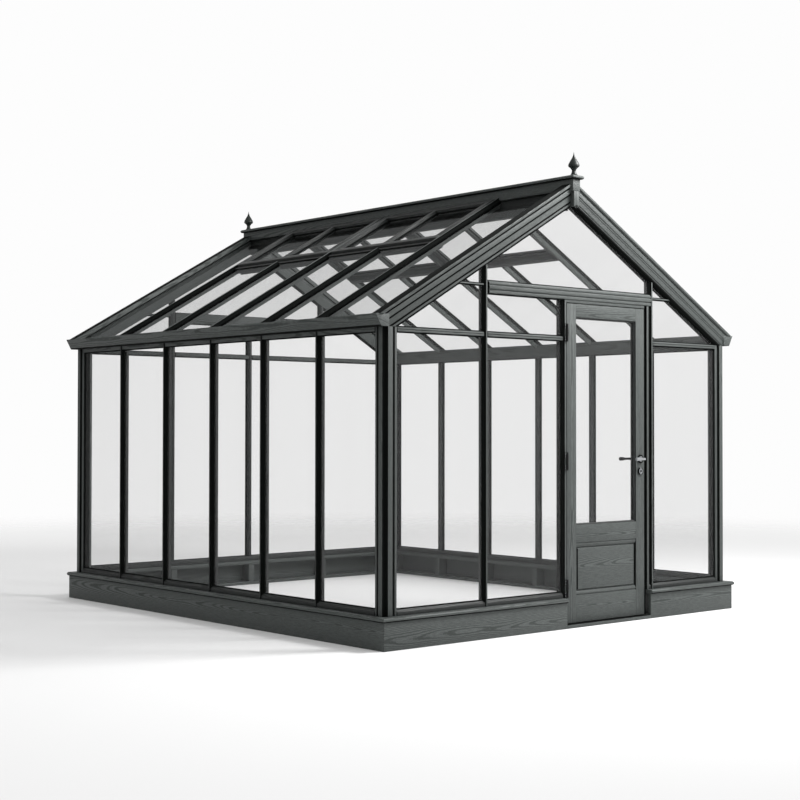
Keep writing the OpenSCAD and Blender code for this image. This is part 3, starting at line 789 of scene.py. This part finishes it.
@dataclass
class TimberFrame:
    """The base, walls, gables and roof timbers, each node with its own arris."""

    joinery: Joinery
    members: tuple[tuple[float, Recess, tuple[str, ...]], ...] = (
        (2.0, Recess.NONE, ("gable_base_boards", "side_base_boards", "ridge_board", "king_blocks",
                            "base_plates", "base_studs")),
        (2.0, Recess.TREAD, ("threshold",)),
        (2.0, Recess.UNDER, ("gable_sills", "side_sills", "ridge_cap", "gutter_floors",
                             "gutter_fronts", "gutter_ends")),
        (1.5, Recess.NONE, ("door_frame_head",)),
        (1.5, Recess.DARK, ("ridge_beam", "roof_cross_rails", "vent_rails", "vent_stiles")),
        (1.5, Recess.WALL, ("eaves_beams", "door_jambs")),
        (0.8, Recess.WALL, ("front_transoms", "back_transoms", "corner_posts")),
        (0.8, Recess.BAR, ("wall_bars", "bottom_rails")),
        (0.8, Recess.MULLION, ("front_mullions", "back_mullions")),
        (0.8, Recess.ROOF, ("roof_bars",)),
        (0.8, Recess.BARGE, ("barge_front_left", "barge_back_right")),
        (0.8, Recess.SOFFIT, ("barge_front_right", "barge_back_left")))

    def build(self) -> None:
        """Shows every timber of the building."""
        for arris, recess, names in self.members:
            for name in names:
                self.joinery.show(name, Body.BUILDING, arris, recess)


@dataclass
class Pane:
    """One sheet of glass: its outline on each face and the way it faces."""

    outline: list[Vector]
    normal: Vector


def panes_of(node: str) -> list[Pane]:
    """Reads each sheet's two broad faces from a glass node.

    Args:
        node: The glass CAD node.

    Returns:
        Two panes a sheet, one for each broad face.
    """
    mesh = clean_copy(node)
    mesh.normal_update()
    found = []
    for part in members(mesh):
        faces = sorted({f for v in part for f in v.link_faces}, key=lambda f: -f.calc_area())[:2]
        found += [Pane([v.co.copy() for v in f.verts], f.normal.copy()) for f in faces]
    mesh.free()
    return found


def inset(outline: list[Vector], normal: Vector, width: float) -> list[Vector]:
    """Moves every side of a convex outline inwards.

    Args:
        outline: Corners, anticlockwise about the normal.
        normal: The outline's normal.
        width: How far each side moves.

    Returns:
        The new corners.
    """
    count, moved = len(outline), []
    for i, corner in enumerate(outline):
        before = (corner - outline[i - 1]).normalized()
        after = (outline[(i + 1) % count] - corner).normalized()
        in_a, in_b = normal.cross(before), normal.cross(after)
        middle = in_a + in_b
        moved.append(corner + middle * (width / max(MITRE_LIMIT, 1 + in_a.dot(in_b))))
    return moved


@dataclass
class Glazing:
    """The sheets of glass and the black rubber seals that frame them on both faces.

    Args:
        finishes: The building's finishes.
        sheets: Each glass node, its body, and whether it has a film.
        seal_w_mm: How far a seal reaches over the glass.
        seal_t_mm: How far it stands up.
        clear_mm: How far it stays clear of the timber.
        lean: How far across the seal its top reaches.
    """

    finishes: Finishes
    sheets: tuple[tuple[str, Body, bool], ...] = (
        ("side_glass", Body.BUILDING, True), ("gable_glass", Body.BUILDING, True),
        ("roof_glass", Body.BUILDING, False), ("vent_glass", Body.BUILDING, False),
        ("door_glass", Body.DOOR, True))
    seal_w_mm: float = 7.0
    seal_t_mm: float = 3.0
    clear_mm: float = 0.4
    lean: float = 0.6

    def seal(self, node: str, body: Body) -> None:
        """Builds the seals of one glass node.

        Args:
            node: The glass CAD node.
            body: The body that it rides on.
        """
        mesh = bmesh.new()
        for pane in panes_of(node):
            outer = inset(pane.outline, pane.normal, self.clear_mm * MM)
            inner = inset(pane.outline, pane.normal, self.seal_w_mm * MM)
            lift = pane.normal * (self.seal_t_mm * MM)
            top = [a + (b - a) * self.lean for a, b in zip(outer, inner)]
            loft(mesh, [outer, [p + lift for p in outer], [p + lift for p in top], inner])
        made = closed_mesh(mesh, f"{node}_seals")
        add_object(f"{node}_seals", made, body, self.finishes.seal)
        log.info("seals on %s: %d faces", node, len(made.polygons))

    def build(self) -> None:
        """Dresses the glass and seals it."""
        for node, body, filmed in self.sheets:
            paint_node(node, self.finishes.wall_glass if filmed else self.finishes.glass)
            self.seal(node, body)


@dataclass
class DoorLeaf:
    """The door's timbers and the mitred bead that holds its glass.

    Args:
        joinery: What makes the timbers.
        arris_mm: Width of their worn arrises.
        bead_w_mm: How far the bead reaches over the glass.
        bead_t_mm: How far its back stands up.
        front_share: Height of its front, as a share of that.
    """

    joinery: Joinery
    arris_mm: float = 1.2
    bead_w_mm: float = 9.0
    bead_t_mm: float = 14.0
    front_share: float = 0.55

    def bead(self) -> None:
        """Builds the bead on both faces of the glass, mitred at the corners."""
        mesh = bmesh.new()
        for pane in panes_of("door_glass"):
            inner = inset(pane.outline, pane.normal, self.bead_w_mm * MM)
            high, low = (pane.normal * (self.bead_t_mm * MM * k) for k in (1.0, self.front_share))
            half = [(a + b) / 2 for a, b in zip(pane.outline, inner)]
            loft(mesh, [pane.outline, [p + high for p in pane.outline], [p + high for p in half],
                        [p + low for p in inner], inner])
        made = closed_mesh(mesh, "glazing_bead")
        write_grain(made, SEED)
        # The bead gets the dim timber as painted shade.
        add_object("glazing_bead", made, Body.DOOR, self.joinery.finishes.dim)
        log.info("glazing bead: %d faces", len(made.polygons))

    def build(self) -> None:
        """Shows the door's timbers and beads its glass."""
        for name in ("door_stiles", "door_rails", "door_panel"):
            self.joinery.show(name, Body.DOOR, self.arris_mm, Recess.LEAF)
        self.bead()


def boxes_of(node: str) -> VectorPairs:
    """Reads the box of each separate solid in a CAD node.

    Args:
        node: The CAD node.

    Returns:
        Lowest and highest corner of each solid.
    """
    mesh = clean_copy(node)
    found = []
    for part in members(mesh):
        places = np.array([v.co for v in part])
        found.append((Vector(places.min(0)), Vector(places.max(0))))
    mesh.free()
    return found


@dataclass
class ScrewSet:
    """Cross-head screws, placed by geometry nodes on one body.

    Args:
        finishes: The building's finishes.
        head_mm: Radius of a head.
        rise_mm: Height of a head.
        slot_mm: Width and depth of the cross, whose matt black is painted shade in the slot.
        crown_share: Radius of a head's top, as a share of the head's.
        sink_share: How far the cross is sunk, as a share of its depth.
        head_sides: How many sides draw a head.
    """

    finishes: Finishes
    head_mm: float = 3.6
    rise_mm: float = 1.1
    slot_mm: float = 0.9
    crown_share: float = 0.62
    sink_share: float = 0.42
    head_sides: int = 24

    def tree(self) -> NodeTree:
        """Builds the node group that puts a head and a cross on every point.

        Returns:
            The node group.
        """
        tree = bpy.data.node_groups.new("screw_heads", "GeometryNodeTree")
        for name, kind in (("Geometry", "Geometry"), ("Head radius", "Float"),
                           ("Head rise", "Float"), ("Slot width", "Float"), ("Seed", "Int"),
                           ("Head finish", "Material"), ("Slot finish", "Material")):
            tree.interface.new_socket(name, in_out="INPUT", socket_type=f"NodeSocket{kind}")
        tree.interface.new_socket("Geometry", in_out="OUTPUT", socket_type="NodeSocketGeometry")
        given = add_node(tree, "NodeGroupInput").outputs
        radius, rise, width = (given[name] for name in ("Head radius", "Head rise", "Slot width"))
        points = add_node(tree, "GeometryNodeMeshToPoints", Mesh=given["Geometry"])
        way = add_node(tree, "GeometryNodeInputNamedAttribute", {"data_type": "FLOAT_VECTOR"},
                       Name="way")
        stand = add_node(tree, "FunctionNodeAlignRotationToVector", {"axis": "Z"},
                         Vector=way.outputs["Attribute"])
        turn = add_node(tree, "FunctionNodeRandomValue", {"data_type": "FLOAT"}, i2=0.0,
                        i3=math.pi / 2, Seed=given["Seed"])
        spin = add_node(tree, "ShaderNodeCombineXYZ", Z=turn.outputs[1])
        by = add_node(tree, "FunctionNodeEulerToRotation", Euler=spin)
        pose = add_node(tree, "FunctionNodeRotateRotation", {"rotation_space": "LOCAL"}, i0=stand,
                        i1=by)
        crown = add_node(tree, "ShaderNodeMath", TIMES, i0=radius, i1=self.crown_share)
        head = add_node(tree, "GeometryNodeMeshCone", Vertices=self.head_sides, Radius_Top=crown,
                        Radius_Bottom=radius, Depth=rise)
        cross = add_node(tree, "GeometryNodeJoinGeometry")
        for long_x, long_y in ((radius, width), (width, radius)):
            size = add_node(tree, "ShaderNodeCombineXYZ", X=long_x, Y=long_y, Z=width)
            bar = add_node(tree, "GeometryNodeMeshCube", Size=size)
            tree.links.new(bar.outputs[0], cross.inputs[0])
        sunk = add_node(tree, "ShaderNodeMath", TIMES, i0=width, i1=-self.sink_share)
        level = add_node(tree, "ShaderNodeMath", PLUS, i0=rise, i1=sunk)
        lift = add_node(tree, "ShaderNodeCombineXYZ", Z=level)
        raised = add_node(tree, "GeometryNodeTransform", Geometry=cross, Translation=lift)
        both = add_node(tree, "GeometryNodeJoinGeometry")
        for shape, finish in ((head, "Head finish"), (raised, "Slot finish")):
            stood = add_node(tree, "GeometryNodeInstanceOnPoints", Points=points, Instance=shape,
                             Rotation=pose)
            real = add_node(tree, "GeometryNodeRealizeInstances", Geometry=stood)
            done = add_node(tree, "GeometryNodeSetMaterial", Geometry=real, Material=given[finish])
            tree.links.new(done.outputs[0], both.inputs[0])
        add_node(tree, "NodeGroupOutput", Geometry=both)
        return tree

    def place(self, tree: NodeTree, body: Body, spots: VectorPairs) -> None:
        """Puts screws on one body and keeps them as plain mesh.

        Args:
            tree: The node group.
            body: The body that they ride on.
            spots: Where each stands and which way it faces.
        """
        name = f"screws_{body.value}"
        mesh = bpy.data.meshes.new(f"{name}_points")
        mesh.from_pydata([spot for spot, _ in spots], [], [])
        ways = mesh.attributes.new("way", "FLOAT_VECTOR", "POINT")
        ways.data.foreach_set("vector", [c for _, way in spots for c in way])
        holder = put(f"{name}_points", mesh)
        nodes = holder.modifiers.new("screws", "NODES")
        nodes.node_group = tree
        # The cross's matt black is painted shade in the slot.
        values = {"Head radius": self.head_mm * MM, "Head rise": self.rise_mm * MM,
                  "Slot width": self.slot_mm * MM, "Seed": SEED,
                  "Head finish": self.finishes.lever, "Slot finish": self.finishes.seal}
        for item in tree.interface.items_tree:
            if item.name in values and item.in_out == "INPUT":
                nodes[item.identifier] = values[item.name]
        made = baked(holder, name)
        add_object(name, made, body)
        log.info("screws on %s: %d, %d faces", body.value, len(spots), len(made.polygons))


@dataclass
class Ironmongery:
    """Hinges, lever, roses, keyholes and finials.

    Args:
        finishes: The building's finishes.
        sides: How many sides draw a turned piece.
        axis_mm: Radius that stands for zero at its middle.
        rose_cap_mm: Radius and height along a rose's cap.
        key_ring_mm: The same for a keyhole's ring.
        keyhole_shade_mm: The same for its dark middle.
        level_mm: A plate this near the lever's height is a rose.
        key_screw_mm: How far a plate's screws stand from its middle.
        leaf_t_mm: Thickness of a hinge leaf.
        leaf_share: Share of the way from a leaf's edge to its knuckle where screws stand.
        leaf_rows: Their heights on the door, as shares of the leaf's height.
        post_rows: The same on the frame.
    """

    finishes: Finishes
    sides: int = 48
    axis_mm: float = 0.01
    rose_cap_mm: Pairs = ((8.4, 0.0), (8.4, 1.6), (14.0, 1.6), (17.5, 0.9), (18.0, 0.0))
    key_ring_mm: Pairs = ((8.0, 0.0), (8.0, 1.2), (9.0, 2.0), (15.0, 2.0), (17.5, 0.8),
                          (17.5, 0.0))
    keyhole_shade_mm: Pairs = ((0.0, 0.4), (5.2, 0.4), (5.2, 0.0))
    level_mm: float = 5.0
    key_screw_mm: float = 20.0
    leaf_t_mm: float = 3.0
    leaf_share: float = 0.2
    leaf_rows: tuple[float, ...] = (0.25, 0.75)
    post_rows: tuple[float, ...] = (0.1, 0.25, 0.75, 0.9)

    def turned(self, mesh: BMesh, outline: Pairs, foot: Vector, way: Vector) -> None:
        """Adds one turned piece to a mesh.

        Args:
            mesh: The mesh.
            outline: Radius and height of each ring, in millimetres.
            foot: Middle of the piece's foot.
            way: Which way it stands.
        """
        across = Vector((1, 0, 0))
        up = way.cross(across)
        angles = [2 * math.pi * i / self.sides for i in range(self.sides)]
        rings = [[foot + way * height * MM + (across * math.cos(a) + up * math.sin(a)) *
                  max(radius, self.axis_mm) * MM for a in angles] for radius, height in outline]
        loft(mesh, rings, closed=False)

    def lock_trim(self) -> VectorPairs:
        """Caps the roses, rings the keyholes, paints shade in their middles with black discs and
        finds where the keyhole plates' screws go.

        Returns:
            Spots for screws.
        """
        caps, rings, keyhole_shades, spots = bmesh.new(), bmesh.new(), bmesh.new(), []
        middle, lever_z = middle_of("door_stiles").y, middle_of("lever_handle").z
        for low, high in boxes_of("lock_plates"):
            centre = (low + high) / 2
            way = Vector((0, math.copysign(1, centre.y - middle), 0))
            foot = Vector((centre.x, high.y if way.y > 0 else low.y, centre.z))
            if abs(centre.z - lever_z) < self.level_mm * MM:
                self.turned(caps, self.rose_cap_mm, foot, way)
            else:
                self.turned(rings, self.key_ring_mm, foot, way)
                # A black disc paints the shade in the keyhole.
                self.turned(keyhole_shades, self.keyhole_shade_mm, foot, way)
                spots += [(foot + Vector((0, 0, k * self.key_screw_mm * MM)), way) for k in (-1, 1)]
        for name, mesh, finish in (("rose_caps", caps, self.finishes.ring),
                                   ("keyhole_rings", rings, self.finishes.ring),
                                   ("painted_keyhole_shade", keyhole_shades, self.finishes.seal)):
            add_object(name, closed_mesh(mesh, name), Body.DOOR, finish)
        return spots

    def hinge_screws(self, node: str, rows: tuple[float, ...]) -> VectorPairs:
        """Finds where a hinge part's screws go.

        Args:
            node: The hinge's CAD node.
            rows: Heights of the screws, as shares of the part's height.

        Returns:
            Spots for screws.
        """
        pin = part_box("hinge_leaves")[0].x
        spots = []
        for low, high in boxes_of(node):
            leaf = high.x if node == "hinge_leaves" else low.x
            knuckle = pin if node == "hinge_leaves" else high.x
            across = leaf + (knuckle - leaf) * self.leaf_share
            plate = high.y - self.leaf_t_mm * MM
            spots += [(Vector((across, plate, low.z + (high.z - low.z) * k)), Vector((0, -1, 0)))
                      for k in rows]
        return spots

    def build(self) -> None:
        """Dresses the metal and drives the screws."""
        for name in ("hinge_pins", "hinge_leaves"):
            paint_node(name, self.finishes.hinge)
        paint_node("lock_plates", self.finishes.seal)
        paint_node("lever_handle", self.finishes.lever)
        paint_node("finials", self.finishes.finial)
        screws = ScrewSet(self.finishes)
        tree = screws.tree()
        screws.place(tree, Body.DOOR,
                     self.lock_trim() + self.hinge_screws("hinge_leaves", self.leaf_rows))
        screws.place(tree, Body.BUILDING, self.hinge_screws("hinge_pins", self.post_rows))


@dataclass
class Studio:
    """A pale floor that fades into a white surround, soft light and the camera.

    Args:
        eye: Where the camera stands, in metres.
        heading_deg: How far it looks to the right of the ridge's way.
        rise_deg: How far it looks up.
        roll_deg: How far it leans.
        lens_mm: Its focal length.
        sensor_mm: Width of its sensor.
        sight_m: How far it sees.
        floor_half_m: Half the floor's width.
        floor_colour: Its colour.
        fade_m: Where it starts to fade and where it is gone.
        white: Colour of the surround that the camera sees.
        key_way: Way to the brightest sky.
        key_spread: Cosine to that way up to which the sky changes.
        sky: Strength of its darkest and brightest part.
        lamp_at: Where the soft box hangs.
        lamp_aim: What it faces, the top of the door gable.
        lamp_m: Its width and height.
        lamp_w: Its power in watts.
        glass_faces: How many faces of glass a ray can cross.
    """

    eye: Triple = (-7.058, -8.233, 1.254)
    heading_deg: float = 40.943
    rise_deg: float = 1.01
    roll_deg: float = 0.062
    lens_mm: float = 68.28
    sensor_mm: float = 36.0
    sight_m: float = 200.0
    floor_half_m: float = 30.0
    floor_colour: str = "#e2e2e2"
    fade_m: Pair = (5.0, 12.0)
    white: str = "#fdfdfd"
    key_way: Triple = (0.62, -0.62, 0.48)
    key_spread: float = 0.9
    sky: Pair = (0.46, 1.15)
    lamp_at: Triple = (2.0, -3.6, 4.8)
    lamp_aim: Triple = (1.0, -1.7, 3.3)
    lamp_m: float = 1.6
    lamp_w: float = 405.0
    glass_faces: int = 32

    def floor(self) -> None:
        """Lays the floor and fades its edge away."""
        material, tree = blank_material("pale_floor")
        place = add_node(tree, "ShaderNodeTexCoord").outputs["Object"]
        away = add_node(tree, "ShaderNodeVectorMath", {"operation": "LENGTH"}, i0=place)
        fade = add_node(tree, "ShaderNodeMapRange", SMOOTH, Value=away.outputs["Value"],
                        From_Min=self.fade_m[0], From_Max=self.fade_m[1])
        paint = add_node(tree, "ShaderNodeBsdfDiffuse", Color=linear(self.floor_colour))
        gone = add_node(tree, "ShaderNodeBsdfTransparent")
        both = add_node(tree, "ShaderNodeMixShader", i0=fade, i1=paint, i2=gone)
        add_node(tree, "ShaderNodeOutputMaterial", Surface=both)
        half = self.floor_half_m
        mesh = bpy.data.meshes.new("floor")
        mesh.from_pydata([(-half, -half, 0), (half, -half, 0), (half, half, 0), (-half, half, 0)],
                         [], [(0, 1, 2, 3)])
        mesh.materials.append(material)
        put("floor", mesh)

    def surround(self) -> None:
        """Makes the surround: white to the eye, with a soft sky stronger from the front right."""
        world = bpy.data.worlds.new("surround")
        bpy.context.scene.world = world
        world.use_nodes = True
        tree = world.node_tree
        tree.nodes.clear()
        way = add_node(tree, "ShaderNodeTexCoord").outputs["Generated"]
        side = add_node(tree, "ShaderNodeVectorMath", {"operation": "DOT_PRODUCT"}, i0=way,
                        i1=tuple(Vector(self.key_way).normalized()))
        strength = add_node(tree, "ShaderNodeMapRange", SMOOTH, Value=side.outputs["Value"],
                            From_Min=-self.key_spread, From_Max=self.key_spread,
                            To_Min=self.sky[0], To_Max=self.sky[1])
        light = add_node(tree, "ShaderNodeBackground", Color=WHITE, Strength=strength)
        seen = add_node(tree, "ShaderNodeBackground", Color=linear(self.white), Strength=1.0)
        ray = add_node(tree, "ShaderNodeLightPath")
        both = add_node(tree, "ShaderNodeMixShader", i0=ray.outputs["Is Camera Ray"], i1=light,
                        i2=seen)
        add_node(tree, "ShaderNodeOutputWorld", Surface=both)

    def lamp(self) -> None:
        """Hangs the soft box that faces the top of the door gable."""
        data = bpy.data.lights.new("key", "AREA")
        data.size = self.lamp_m
        data.energy = self.lamp_w
        lamp = put("key", data)
        lamp.location = self.lamp_at
        lamp.rotation_mode = "QUATERNION"
        aim = Vector(self.lamp_aim) - Vector(self.lamp_at)
        lamp.rotation_quaternion = aim.to_track_quat("-Z", "Y")

    def camera(self) -> None:
        """Sets the camera down in front of the corner between the door gable and the left side."""
        data = bpy.data.cameras.new("camera")
        data.sensor_width = self.sensor_mm
        data.lens = self.lens_mm
        data.clip_end = self.sight_m
        camera = put("camera", data)
        camera.location = self.eye
        camera.rotation_mode = "QUATERNION"
        turn = Euler((math.radians(90 + self.rise_deg), 0, math.radians(-self.heading_deg)), "XYZ")
        roll = Euler((0, 0, math.radians(self.roll_deg)))
        camera.rotation_quaternion = turn.to_quaternion() @ roll.to_quaternion()
        bpy.context.scene.camera = camera

    def build(self) -> None:
        """Builds the floor, light and camera."""
        scene = bpy.context.scene
        scene.view_settings.view_transform = "Standard"
        scene.cycles.transparent_max_bounces = self.glass_faces
        self.camera()
        self.floor()
        self.surround()
        self.lamp()
        log.info("studio ready")


def measure_shell(foot_m: float = 1.2, head_m: Pair = (0.2, 0.9),
                  steepness: float = 0.56) -> Shell:
    """Reads the outer faces of the walls and slopes from the frame.

    Args:
        foot_m: The roof bars' low ends lie further out than this.
        head_m: Their high ends lie between these.
        steepness: About how much the slopes fall in a metre.

    Returns:
        The shell.
    """
    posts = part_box("corner_posts")[1]
    bars = np.array([v.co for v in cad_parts["roof_bars"].data.vertices])
    out = bars[:, 0]
    ends = (bars[out > foot_m], bars[(out > head_m[0]) & (out < head_m[1])])
    foot, head = (end[np.argmax(end[:, 2] + steepness * end[:, 0])] for end in ends)
    fall = (head[2] - foot[2]) / (foot[0] - head[0])
    return Shell(posts.x, posts.y, float(foot[2] + fall * foot[0]), math.atan(fall))


def main() -> None:
    """Builds the building's looks and the studio in order."""
    logging.basicConfig(level=logging.INFO, format="%(message)s")
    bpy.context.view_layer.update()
    Studio().build()
    finishes = Finishes()
    joinery = Joinery(finishes, measure_shell())
    TimberFrame(joinery).build()
    DoorLeaf(joinery).build()
    Glazing(finishes).build()
    Ironmongery(finishes).build()


if __name__ == "__main__":
    main()
